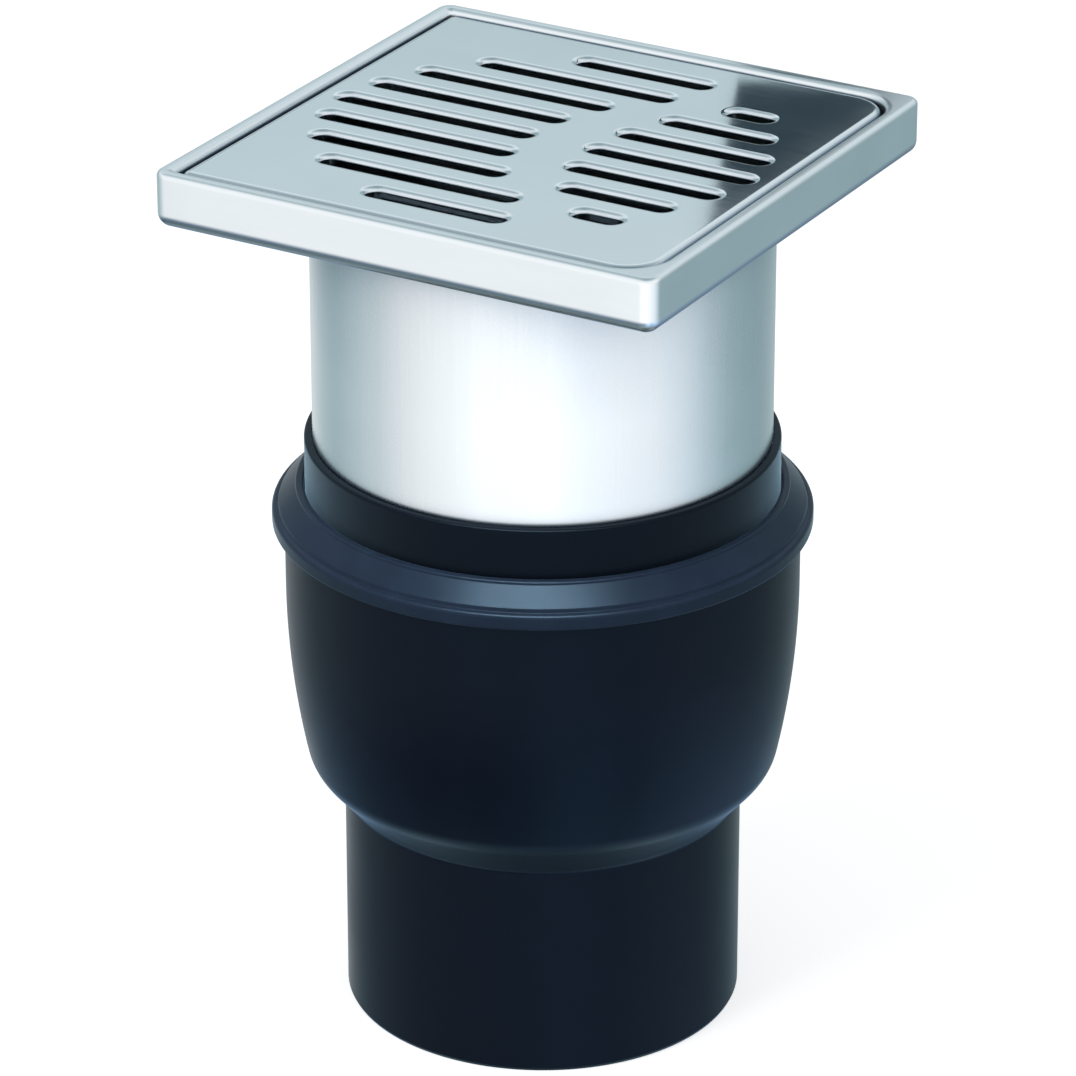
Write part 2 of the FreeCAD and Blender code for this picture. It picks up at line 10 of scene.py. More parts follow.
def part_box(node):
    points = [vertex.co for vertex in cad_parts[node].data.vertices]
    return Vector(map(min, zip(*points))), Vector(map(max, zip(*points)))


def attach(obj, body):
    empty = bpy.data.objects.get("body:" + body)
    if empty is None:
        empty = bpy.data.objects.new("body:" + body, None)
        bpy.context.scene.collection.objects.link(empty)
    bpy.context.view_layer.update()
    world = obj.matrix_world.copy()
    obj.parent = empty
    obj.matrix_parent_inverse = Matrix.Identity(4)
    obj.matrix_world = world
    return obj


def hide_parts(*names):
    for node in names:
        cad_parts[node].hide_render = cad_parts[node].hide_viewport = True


bl_info = {
    "name": "Floor gully surfaces",
    "version": (1, 0, 0),
    "blender": (4, 5, 0),
    "location": "View3D > Sidebar > Gully",
    "description": "Builds the visible surfaces and finishes of a floor gully over its packed frame",
    "category": "Object",
}

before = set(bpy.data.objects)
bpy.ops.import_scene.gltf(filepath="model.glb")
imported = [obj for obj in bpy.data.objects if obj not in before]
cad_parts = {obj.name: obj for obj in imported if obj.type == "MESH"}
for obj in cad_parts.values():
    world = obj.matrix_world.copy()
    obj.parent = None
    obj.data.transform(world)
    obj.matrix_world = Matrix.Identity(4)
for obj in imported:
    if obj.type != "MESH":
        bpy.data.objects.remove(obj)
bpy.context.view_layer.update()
MM = 0.001


def foot_of(node):
    """Height of a node's lowest point."""
    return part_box(node)[0].z


def top_of(node):
    """Height of a node's highest point."""
    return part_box(node)[1].z


def reach_of(node):
    """How far a node reaches along X, which on a turned piece is its largest radius."""
    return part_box(node)[1].x


def length(name, description, value):
    """A property that holds a length, given in millimetres and kept in metres."""
    return bpy.props.FloatProperty(name=name, description=description, default=value * MM,
                                   unit="LENGTH", subtype="DISTANCE", precision=4)


def colour(name, description, value):
    return bpy.props.FloatVectorProperty(name=name, description=description, default=value,
                                         subtype="COLOR", size=3, min=0.0, max=1.0)


def share(name, description, value):
    return bpy.props.FloatProperty(name=name, description=description, default=value,
                                   min=0.0, max=1.0, subtype="FACTOR")


def count(name, description, value):
    return bpy.props.IntProperty(name=name, description=description, default=value, min=3)


class GullySizes(bpy.types.PropertyGroup):
    """Sizes of the surfaces that the frame's boxes don't give."""

    around: count("Steps around", "Steps of a turned surface around its axis", 256)
    round_steps: count("Steps in a round", "Steps in each rounded edge", 6)
    tube_wall: length("Riser wall", "Thickness of the riser's wall", 1.5)
    weld: length("Weld", "Height and width of the weld under the frame", 1.5)
    collar_wall: length("Collar wall", "Thickness of the seal's collar", 2.2)
    seal_slack: length("Seal slack", "Gap between the riser and the seal", 0.08)
    seal_step: length("Seal step", "Height of the seal's foot above the body", 1.8)
    rim_height: length("Rim height", "Height of the ring's rim", 4.35)
    rim_flat: length("Rim flat", "Width of the rim's flat top", 1.65)
    ring_lip: length("Ring lip", "How far the top of the ring's slope lies inside the rim", 6.45)
    ring_socket: length("Ring socket", "How far the ring's inside over the body lies inside the rim", 6.65)
    ring_hole: length("Ring hole", "How far the ring's hole lies inside the rim", 8.87)
    ring_ceiling: length("Ring ceiling", "Height of the ring's inside above the body", 2.1)
    bulb_inset: length("Bulb inset", "How far the bulb lies inside the ring's rim", 3.4)
    spigot_radius: length("Spigot radius", "Outer radius of the outlet spigot", 55.0)
    spigot_wall: length("Spigot wall", "Thickness of the spigot's wall", 3.2)
    spigot_length: length("Spigot length", "Height of the spigot below the shoulder", 62.0)
    bulb_straight: length("Straight bulb", "Height of the bulb's straight upper part", 23.2)
    bulb_taper: length("Bulb taper", "How much narrower the bulb's foot is", 5.72)
    shoulder_rise: length("Shoulder rise", "Height of the conical shoulder", 11.1)
    shoulder_round: length("Shoulder round", "Radius of the shoulder's edge", 10.5)
    socket_wall: length("Socket wall", "Thickness of the bulb's wall round its socket", 3.25)
    socket_depth: length("Socket depth", "Depth of the socket for the seal", 9.8)
    ledge_width: length("Ledge width", "Width of the ledge under the seal", 1.3)
    seat_inset: length("Seat inset", "How far the trap's seat lies inside the bulb's foot", 4.3)
    seat_rise: length("Seat rise", "Height of the trap's seat above the spigot", 11.0)
    seat_height: length("Seat height", "Height of the seat's straight part", 9.5)
    seat_bevel: length("Seat bevel", "Width of the bevels above and below the seat", 3.0)
    frame_wall: length("Frame wall", "Width of the frame's rim", 4.5)
    frame_floor: length("Frame floor", "Thickness of the frame's floor", 2.0)
    frame_corner: length("Frame corner", "Radius of the frame's corners", 4.2)
    frame_top_round: length("Frame top round", "Radius of the rim's outer edge", 1.5)
    frame_inner_round: length("Frame inner round", "Radius of the rim's inner edge", 2.0)
    frame_inner_corner: length("Frame inner corner", "Radius of the well's left corners", 0.5)
    frame_foot_round: length("Frame foot round", "Radius of the frame's lower edge", 4.0)
    sheet: length("Grating sheet", "Thickness of the grating's sheet", 1.5)
    grating_gap: length("Grating gap", "Gap between the frame and the grating", 1.0)
    grating_corner: length("Grating corner", "Radius of the grating's right corners", 11.0)
    grating_square_corner: length("Grating square corner", "Radius of the grating's left corners", 2.2)
    grating_round: length("Grating round", "Radius of the grating's upper edge", 2.0)
    slot_width: length("Slot width", "Clear width of a slot", 6.0)
    slot_pitch: length("Slot pitch", "Distance from slot row to slot row", 13.85)
    slot_round: length("Slot round", "Radius of a slot's rolled edge", 1.6)
    lip_depth: length("Lip depth", "Depth of a slot's lip below the grating's top", 3.2)
    field_edge: length("Field edge", "How far the circle round the slots lies inside the grating", 4.34)
    slot_drop: length("Slot drop", "How far beyond its middle line a slot's length is measured", 5.8)
    slot_least: length("Least slot", "Least length of a slot", 17.0)
    land_bend: length("Land bend", "Radius of the arc that the land between the slots follows", 54.3)
    land_offset: length("Land offset", "How far left of the middle the land begins", 1.5)
    land_width: length("Land width", "Width of the land between the slots", 13.9)


class GullyFinishes(bpy.types.PropertyGroup):
    """Colours and polish of the finishes."""

    steel: colour("Steel", "Colour of the stainless steel", (0.825, 0.865, 0.885))
    # Painted shade, not a colour of the steel: the tint that steel is painted where another piece lies
    # close over it.
    painted_steel_shade: colour("Steel shade", "Colour of steel deep in under another piece", (0.14, 0.20, 0.27))
    # Painted shade, not a dull finish: the colour that the frame's downward faces are painted, standing for
    # the dark that they mirror.
    painted_underside_tone: colour("Steel underside", "Colour of the frame's dull underside", (0.20, 0.165, 0.145))
    grating_polish: share("Grating roughness", "Roughness of the pressed grating", 0.13)
    frame_polish: share("Frame roughness", "Roughness of the frame", 0.30)
    tube_polish: share("Riser roughness", "Roughness of the riser tube", 0.28)
    plastic: colour("Plastic", "Colour of the black mouldings", (0.0020, 0.0032, 0.0085))
    plastic_bloom: colour("Plastic bloom", "Tint of the mouldings' gloss and bloom", (0.45, 0.75, 1.0))
    plastic_polish: share("Plastic roughness", "Roughness of the black mouldings", 0.34)
    rubber_polish: share("Rubber roughness", "Roughness of the riser's seal", 0.42)
    trap_polish: share("Trap roughness", "Roughness of the funnel and cup", 0.38)
    ring_plastic: colour("Ring plastic", "Colour of the clamp ring", (0.0044, 0.0076, 0.0150))
    rubber: colour("Rubber", "Colour of the seals", (0.0006, 0.0008, 0.0022))
    trap: colour("Trap", "Colour of the funnel and cup", (0.020, 0.022, 0.026))


def sizes():
    return bpy.context.scene.gully_sizes


def finishes():
    return bpy.context.scene.gully_finishes


def rounded(corners, steps, support=0.25 * MM):
    """Points of a closed outline. Each corner is (x, y, round): a round corner becomes the arc that
    touches both of its sides, its ends round * tan(turn / 2) away from the corner, with one more point
    beyond each end that keeps the side beside it flat."""
    place = np.array([corner[:2] for corner in corners])
    radius = np.array([corner[2] for corner in corners])
    after = np.roll(place, -1, axis=0) - place
    side = np.linalg.norm(after, axis=1)
    after = after / side[:, None]
    before = -np.roll(after, 1, axis=0)
    turn = math.pi - np.arccos(np.clip((before * after).sum(axis=1), -1, 1))
    reach = radius * np.tan(turn / 2)
    spare = np.clip((side - reach - np.roll(reach, -1)) / 4, 0, support)
    along = np.linspace(0, 1, steps + 1)[:, None]
    points = []
    for index, here in enumerate(place):
        if radius[index] <= 0 or turn[index] < 1e-3:
            points.append(here[None, :])
            continue
        middle = before[index] + after[index]
        centre = here + middle / np.linalg.norm(middle) * math.hypot(radius[index], reach[index])
        start = here + before[index] * reach[index]
        end = here + after[index] * reach[index]
        sweep = turn[index]
        arc = (np.sin((1 - along) * sweep) * (start - centre) + np.sin(along * sweep) * (end - centre))
        points.append((start + before[index] * spare[index - 1])[None, :])
        points.append(centre + arc / math.sin(sweep))
        points.append((end + after[index] * spare[index])[None, :])
    return np.concatenate(points)


def bulge(low, high, centre_height, steps):
    """Points of the arc from low to high, both (radius, height), whose centre lies at centre_height:
    radius = centre + R * cos(angle), height = centre_height + R * sin(angle)."""
    middle = (low[0] + high[0]) / 2
    rise = (high[1] - low[1]) * ((high[1] + low[1]) / 2 - centre_height)
    centre = middle + rise / (high[0] - low[0])
    radius = math.hypot(low[0] - centre, low[1] - centre_height)
    first = math.atan2(low[1] - centre_height, low[0] - centre)
    last = math.atan2(high[1] - centre_height, high[0] - centre)
    angle = np.linspace(first, last, steps + 1)
    return np.stack((centre + radius * np.cos(angle), centre_height + radius * np.sin(angle)), axis=1)


def grid_faces(rows, columns, closed_rows=True):
    """Four-sided faces of a grid of rows * columns points, closed along each row, and from the last row
    to the first if asked."""
    row = np.arange(rows if closed_rows else rows - 1)
    row, column = (part.ravel() for part in np.meshgrid(row, np.arange(columns), indexing="ij"))
    next_row = (row + 1) % rows
    next_column = (column + 1) % columns
    return np.stack((row * columns + column, row * columns + next_column,
                     next_row * columns + next_column, next_row * columns + column), axis=1)


def turned(profile, around):
    """Points and faces of a turned surface: x = radius * cos(angle), y = radius * sin(angle), with the
    radius and the height taken from the closed profile, which runs anticlockwise."""
    angle = np.linspace(0, 2 * math.pi, around, endpoint=False)
    radius = profile[:, 0][:, None]
    height = np.repeat(profile[:, 1][:, None], around, axis=1)
    points = np.stack((radius * np.cos(angle), radius * np.sin(angle), height), axis=2)
    return points.reshape(-1, 3), grid_faces(len(profile), around)


def square_loop(half, right, left, side_steps, corner_steps):
    """Points round a square with rounded corners, the same number for every size, with one radius for
    the corners on the right and one for those on the left. Each corner is an arc about the point that
    lies its radius inside both sides, and the sides between them are divided evenly."""
    angle = np.linspace(0, math.pi / 2, corner_steps + 1)
    arcs = []
    corners = ((1, 1, right), (-1, 1, left), (-1, -1, left), (1, -1, right))
    for quarter, (x, y, corner) in enumerate(corners):
        sweep = angle + quarter * math.pi / 2
        centre = np.array((x, y)) * (half - corner)
        arcs.append(centre + corner * np.stack((np.cos(sweep), np.sin(sweep)), axis=1))
    along = np.linspace(0, 1, side_steps + 1)[1:-1, None]
    sides = [arc[-1] + (following[0] - arc[-1]) * along
             for arc, following in zip(arcs, arcs[1:] + arcs[:1])]
    return np.concatenate([part for pair in zip(arcs, sides) for part in pair])


def slot_loop(left, right, level, radius, steps):
    """Points round a slot with round ends: a half circle about each end of its middle line."""
    angle = np.linspace(-math.pi / 2, math.pi / 2, steps + 1)
    far = np.stack((right + radius * np.cos(angle), level + radius * np.sin(angle)), axis=1)
    near = np.stack((left - radius * np.cos(angle), level - radius * np.sin(angle)), axis=1)
    return np.concatenate((far, near))


def stacked(loops, heights):
    """Points of loops set one above another, one row of the grid for each loop."""
    rows = [np.column_stack((loop, np.full(len(loop), height))) for loop, height in zip(loops, heights)]
    return np.concatenate(rows)


def add_piece(name, points, faces, material, body, stands_for, sharp=35):
    """A mesh object in the frame's own place, which rides on its body and stands for its nodes."""
    mesh = bpy.data.meshes.new(name)
    mesh.from_pydata(points.tolist(), [], [list(face) for face in faces])
    mesh.validate()
    mesh.shade_smooth()
    mesh.set_sharp_from_angle(angle=math.radians(sharp))
    piece = bpy.data.objects.new(name, mesh)
    bpy.context.scene.collection.objects.link(piece)
    mesh.materials.append(material)
    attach(piece, body)
    if stands_for:
        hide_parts(*stands_for)
    return piece


class Nodes:
    """A short way to write a material's nodes."""

    def __init__(self, tree):
        self.tree = tree

    def add(self, kind, inputs=(), **settings):
        node = self.tree.nodes.new(kind)
        for name, value in settings.items():
            setattr(node, name, value)
        for name, value in dict(inputs).items():
            if isinstance(value, bpy.types.NodeSocket):
                self.tree.links.new(value, node.inputs[name])
            else:
                node.inputs[name].default_value = value
        return node

    def noise(self, vector, scale, detail=4.0, roughness=0.55):
        return self.add("ShaderNodeTexNoise", {"Vector": vector, "Scale": scale, "Detail": detail,
                                               "Roughness": roughness}).outputs["Fac"]

    def stretch(self, vector, scale):
        return self.add("ShaderNodeMapping", {"Vector": vector, "Scale": scale}).outputs["Vector"]

    def between(self, value, low, high, to_low, to_high):
        return self.add("ShaderNodeMapRange", {"Value": value, "From Min": low, "From Max": high,
                                               "To Min": to_low, "To Max": to_high}).outputs["Result"]

    def math(self, operation, first, second=0.0):
        return self.add("ShaderNodeMath", {0: first, 1: second}, operation=operation).outputs[0]

    def bump(self, height, distance, strength=1.0, normal=None):
        inputs = {"Height": height, "Distance": distance, "Strength": strength}
        if normal is not None:
            inputs["Normal"] = normal
        return self.add("ShaderNodeBump", inputs).outputs["Normal"]

    def mix(self, factor, first, second):
        node = self.add("ShaderNodeMix", data_type="RGBA")
        for socket, value in ((node.inputs[0], factor), (node.inputs[6], first), (node.inputs[7], second)):
            if isinstance(value, bpy.types.NodeSocket):
                self.tree.links.new(value, socket)
            else:
                socket.default_value = value
        return node.outputs[2]


def new_material(name):
    """A material with only a principled shader, and its nodes and object coordinates."""
    material = bpy.data.materials.new(name)
    material.use_nodes = True
    nodes = Nodes(material.node_tree)
    shader = material.node_tree.nodes["Principled BSDF"]
    place = nodes.add("ShaderNodeTexCoord").outputs["Object"]
    return material, nodes, shader, place


def full(colour_value, factor=1.0):
    """A colour as the four numbers that a socket takes, made lighter or darker by a factor."""
    return (*[min(channel * factor, 1.0) for channel in colour_value], 1.0)


def steel(name, roughness, grain, painted_shade_reach=0.0, painted_underside_shade=False):
    """Stainless steel with a faint rolling grain along one direction and a cloudy polish. Painted shade
    darkens the steel where it lies deep in within reach of another surface, and painted shade can darken
    its underside."""
    material, nodes, shader, place = new_material(name)
    own = finishes()
    lines = nodes.noise(nodes.stretch(place, grain), 1.0, 3.0, 0.6)
    clouds = nodes.noise(place, 38.0, 5.0, 0.6)
    tone = nodes.between(clouds, 0.3, 0.7, 0.0, 1.0)
    shader.inputs["Metallic"].default_value = 1.0
    tint = nodes.mix(tone, full(own.steel, 0.965), full(own.steel))
    if painted_shade_reach:
        # Painted shade: ambient occlusion darkens the steel's colour towards the painted shade tint where
        # other surfaces are near.
        painted_shade_openness = nodes.add("ShaderNodeAmbientOcclusion", {"Distance": painted_shade_reach}, samples=8)
        lit = nodes.between(painted_shade_openness.outputs["AO"], 0.50, 0.94, 0.0, 1.0)
        tint = nodes.mix(lit, full(own.painted_steel_shade), tint)
    # Painted shade: faces turned downward are given a darker colour, standing for the dark that they
    # mirror.
    if painted_underside_shade:
        normal = nodes.add("ShaderNodeNewGeometry").outputs["Normal"]
        upward = nodes.add("ShaderNodeSeparateXYZ", {"Vector": normal}).outputs["Z"]
        tint = nodes.mix(nodes.between(upward, -0.05, -0.42, 0.0, 1.0), tint, full(own.painted_underside_tone))
    nodes.tree.links.new(tint, shader.inputs["Base Color"])
    rough = nodes.math("ADD", nodes.between(clouds, 0.3, 0.7, roughness - 0.02, roughness + 0.025),
                       nodes.between(lines, 0.3, 0.7, -0.015, 0.02))
    nodes.tree.links.new(rough, shader.inputs["Roughness"])
    nodes.tree.links.new(nodes.bump(lines, 0.00001, 0.5), shader.inputs["Normal"])
    return material


def moulding(name, tint, roughness, specular=0.13, sheen=0.10):
    """Moulded plastic or rubber: a fine eroded grain, slow waves of shrinkage, a trace of dust, and a
    faint bloom that has the same tint as the gloss."""
    material, nodes, shader, place = new_material(name)
    grain = nodes.noise(place, 2600.0, 2.0, 0.5)
    waves = nodes.noise(place, 26.0, 3.0, 0.5)
    tone = nodes.between(nodes.noise(place, 90.0, 6.0, 0.7), 0.45, 0.8, 0.0, 1.0)
    nodes.tree.links.new(nodes.mix(tone, full(tint), full(tint, 1.35)), shader.inputs["Base Color"])
    shader.inputs["Specular IOR Level"].default_value = specular
    shader.inputs["Specular Tint"].default_value = full(finishes().plastic_bloom)
    shader.inputs["Sheen Weight"].default_value = sheen
    shader.inputs["Sheen Roughness"].default_value = 0.35
    shader.inputs["Sheen Tint"].default_value = full(finishes().plastic_bloom)
    rough = nodes.math("ADD", nodes.between(waves, 0.3, 0.7, roughness - 0.03, roughness + 0.03),
                       nodes.between(grain, 0.3, 0.7, -0.02, 0.02))
    nodes.tree.links.new(rough, shader.inputs["Roughness"])
    soft = nodes.bump(waves, 0.0004, 0.15)
    nodes.tree.links.new(nodes.bump(grain, 0.00003, 0.35, soft), shader.inputs["Normal"])
    return material


class GULLY_OT_riser_tube(bpy.types.Operator):
    """Riser tube: a thin turned wall with a weld at its top"""

    bl_idname = "gully.riser_tube"
    bl_label = "Riser tube"

    def execute(self, context):
        own = sizes()
        low, high = foot_of("riser_tube"), top_of("riser_tube")
        outer = reach_of("riser_tube") - own.weld
        bore = outer - own.tube_wall
        profile = rounded([
            (bore, low, 0.2 * MM),
            (outer, low, 0.2 * MM),
            (outer, high - own.weld, 0.5 * MM),
            (outer + own.weld, high, 0),
            (bore, high, 0),
        ], own.round_steps)
        points, faces = turned(profile, own.around)
        # The riser tube gets painted shade under the frame and near the collar.
        material = steel("tube_steel", finishes().tube_polish, (900.0, 900.0, 12.0), 45 * MM)
        add_piece("riser_tube_wall", points, faces, material, "riser", ["riser_tube"])
        return {"FINISHED"}


class GULLY_OT_riser_seal(bpy.types.Operator):
    """Riser seal: the rubber collar round the riser and the foot that the ring holds down"""

    bl_idname = "gully.riser_seal"
    bl_label = "Riser seal"

    def execute(self, context):
        own = sizes()
        low, high = foot_of("riser_seal"), top_of("riser_seal")
        foot = reach_of("riser_seal")
        tube = reach_of("riser_tube") - own.weld + own.seal_slack
        collar = tube + own.collar_wall
        shoulder = top_of("gully_body") + own.seal_step
        profile = rounded([
            (tube, low, 0.4 * MM),
            (foot, low, 0.6 * MM),
            (foot, shoulder, 0.4 * MM),
            (collar, shoulder, 0.5 * MM),
            (collar, high, 0.75 * MM),
            (tube, high, 0.35 * MM),
        ], own.round_steps)
        points, faces = turned(profile, own.around)
        material = moulding("seal_rubber", finishes().rubber, finishes().rubber_polish,
                            specular=0.10, sheen=0.24)
        add_piece("riser_seal_collar", points, faces, material, "seal", ["riser_seal"])
        return {"FINISHED"}


class GULLY_OT_clamp_ring(bpy.types.Operator):
    """Clamp ring: a rounded rim and a slope up to the lip round the collar"""

    bl_idname = "gully.clamp_ring"
    bl_label = "Clamp ring"

    def execute(self, context):
        own = sizes()
        low, high = foot_of("clamp_ring"), top_of("clamp_ring")
        rim = reach_of("clamp_ring")
        body_top = top_of("gully_body")
        skirt = reach_of("gully_body") + 0.1 * MM
        socket = rim - own.ring_socket
        hole = rim - own.ring_hole
        lip = rim - own.ring_lip
        rim_top = low + own.rim_height
        ceiling = body_top + own.ring_ceiling
        profile = rounded([
            (skirt, low, 0.1 * MM),
            (rim, low, 0.5 * MM),
            (rim, rim_top, 1.25 * MM),
            (rim - own.rim_flat, rim_top, 0.25 * MM),
            (rim - own.rim_flat - 0.27 * MM, rim_top + 1.1 * MM, 0.5 * MM),
            (lip, high - 0.8 * MM, 0.3 * MM),
            (lip, high, 0.7 * MM),
            (hole, high, 0.8 * MM),
            (hole, ceiling, 0.2 * MM),
            (socket, ceiling, 0.2 * MM),
            (socket, body_top, 0),
            (skirt, body_top, 0),
        ], own.round_steps)
        points, faces = turned(profile, own.around)
        material = moulding("ring_plastic", finishes().ring_plastic, finishes().plastic_polish)
        add_piece("clamp_ring_cap", points, faces, material, "gully", ["clamp_ring"])
        return {"FINISHED"}


class GULLY_OT_gully_body(bpy.types.Operator):
    """Body: spigot, conical shoulder and bulb in one moulding, with its socket and trap seat"""

    bl_idname = "gully.gully_body"
    bl_label = "Body"

    def execute(self, context):
        own = sizes()
        high = top_of("gully_body")
        bulb = reach_of("clamp_ring") - own.bulb_inset
        foot = bulb - own.bulb_taper
        spigot = own.spigot_radius
        bore = spigot - own.spigot_wall
        neck = own.spigot_length
        shoulder = neck + own.shoulder_rise
        straight = high - own.bulb_straight
        socket = bulb - own.socket_wall
        ledge = socket - own.ledge_width
        seal_seat = high - own.socket_depth
        seat = foot - own.seat_inset
        seat_low = neck + own.seat_rise
        seat_high = seat_low + own.seat_height
        bevel = own.seat_bevel
        outside = bulge((foot, shoulder), (bulb, straight), straight, 20)
        inside = bulge((seat + bevel, seat_high + bevel), (ledge, straight), straight, 24)[::-1]
        # The first point of the bulge lies within the round of the shoulder and is left out.
        corners = [
            (bore, 0, 0.4 * MM),
            (spigot - 0.5 * MM, 0, 0.4 * MM),
            (spigot, 1.0 * MM, 0.5 * MM),
            (spigot, neck, 2.0 * MM),
            (foot, shoulder, own.shoulder_round),
        ] + [(*point, 0) for point in outside[2:]] + [
            (bulb, high, 0.3 * MM),
            (socket, high, 0.3 * MM),
            (socket, seal_seat, 0.2 * MM),
            (ledge, seal_seat, 0.3 * MM),
        ] + [(*point, 0) for point in inside[:-1]] + [
            (seat + bevel, seat_high + bevel, 0.5 * MM),
            (seat, seat_high, 0.5 * MM),
            (seat, seat_low, 0.3 * MM),
            (seat - bevel, seat_low, 0.5 * MM),
            (bore, neck + 1.6 * MM, 1.0 * MM),
        ]
        points, faces = turned(rounded(corners, own.round_steps + 2), own.around)
        material = moulding("black_plastic", finishes().plastic, finishes().plastic_polish)
        add_piece("gully_body_moulding", points, faces, material, "gully", ["gully_body"])
        return {"FINISHED"}


class GULLY_OT_frame(bpy.types.Operator):
    """Frame: a square tray with a solid rounded rim and a round opening over the riser"""

    bl_idname = "gully.frame"
    bl_label = "Frame"

    def execute(self, context):
        own = sizes()
        low, high = foot_of("frame"), top_of("frame")
        half = reach_of("frame")
        wall = own.frame_wall
        bore = reach_of("riser_tube") - own.weld - own.tube_wall
        floor = low + own.frame_floor
        outside = rounded([
            (20 * MM, low, 0),
            (0, low, own.frame_foot_round),
            (0, high, own.frame_top_round),
            (wall / 2, high, 0),
        ], own.round_steps + 4)[1:-1]
        inside = rounded([
            (wall / 2, high, 0),
            (wall, high, own.frame_inner_round),
            (wall, floor, 0.3 * MM),
            (20 * MM, floor, 0),
        ], own.round_steps + 2)[1:-1]
        well = own.grating_corner + own.grating_gap
        loops = []
        for inset in outside[:, 0]:
            corner = max(own.frame_corner - inset, 0.15 * MM)
            loops.append(square_loop(half - inset, corner, corner, 14, 12))
        for inset in inside[:, 0]:
            left = max(own.frame_inner_corner + wall - inset, 0.15 * MM)
            loops.append(square_loop(half - inset, well + wall - inset, left, 14, 12))
        heights = [*outside[:, 1], *inside[:, 1]]
        angle = np.arctan2(loops[0][:, 1], loops[0][:, 0])
        circle = np.stack((bore * np.cos(angle), bore * np.sin(angle)), axis=1)
        start, end = loops[0], loops[-1]
        loops = [circle, circle + (start - circle) * 0.5] + loops + [circle + (end - circle) * 0.5, circle]
        heights = [low, low] + heights + [floor] * 2
        points = stacked(loops, heights)
        faces = grid_faces(len(loops), len(circle))
        # The frame's downward faces get painted shade.
        material = steel("frame_steel", finishes().frame_polish, (60.0, 60.0, 900.0), painted_underside_shade=True)
        add_piece("frame_tray", points, faces, material, "riser", ["frame"])
        return {"FINISHED"}


def slots_in_row(level, half):
    """Ends of the slots whose middle line lies this far from the grating's own: a chord of a circle,
    parted by a land that follows an arc. A short slot beside the land keeps its least length."""
    own = sizes()
    field = half - own.field_edge
    line = level + own.slot_drop
    least = own.slot_least
    bend = own.land_bend
    if line >= field or 2 * math.sqrt(field ** 2 - line ** 2) < least:
        return []
    chord = math.sqrt(field ** 2 - line ** 2)
    if level >= bend:
        return [(-chord, chord)]
    land = bend - own.land_offset - math.sqrt(bend ** 2 - level ** 2)
    far = land + own.land_width
    return [(-chord, land), (far, max(chord, far + least))]


def all_slots(half):
    """Every slot of the grating as (left, right, level), its ends outside the rolled edge."""
    pitch = sizes().slot_pitch
    slots = []
    row = 0
    while slots_in_row(row * pitch, half):
        for left, right in slots_in_row(row * pitch, half):
            slots += [(left, right, side * pitch) for side in sorted({-row, row})]
        row += 1
    return slots


def fill_between(outer, holes):
    """Flat triangles between an outer loop and the loops of its holes. Triangles whose middle lies in a
    hole are left out. A loop's points keep their order, so that walls can be joined to them."""
    loops = [outer, *holes]
    flat = np.concatenate(loops)
    edges = []
    start = 0
    for loop in loops:
        index = np.arange(len(loop))
        edges += (np.stack((index, (index + 1) % len(loop)), axis=1) + start).tolist()
        start += len(loop)
    found = delaunay_2d_cdt([Vector(point) for point in flat.tolist()], edges, [], 0, 1e-7)
    triangles = np.array([list(face) for face in found[2]])
    origin = np.array([ids[0] for ids in found[3]])
    triangles = origin[triangles]
    middle = flat[triangles].mean(axis=1)
    keep = inside_loop(middle, outer)
    for hole in holes:
        keep &= ~inside_loop(middle, hole)
    triangles = triangles[keep]
    sides = flat[triangles]
    area = np.cross(sides[:, 1] - sides[:, 0], sides[:, 2] - sides[:, 0])
    triangles[area < 0] = triangles[area < 0][:, ::-1]
    return triangles


def inside_loop(points, loop):
    """Which points lie inside a loop: a ray along X crosses its sides an odd number of times."""
    start = loop
    end = np.roll(loop, -1, axis=0)
    above = (start[None, :, 1] > points[:, 1, None]) != (end[None, :, 1] > points[:, 1, None])
    rise = end[:, 1] - start[:, 1]
    rise = np.where(rise == 0, 1e-12, rise)
    cross = start[:, 0] + (points[:, 1, None] - start[:, 1]) * (end[:, 0] - start[:, 0]) / rise
    return ((points[:, 0, None] < cross) & above).sum(axis=1) % 2 == 1


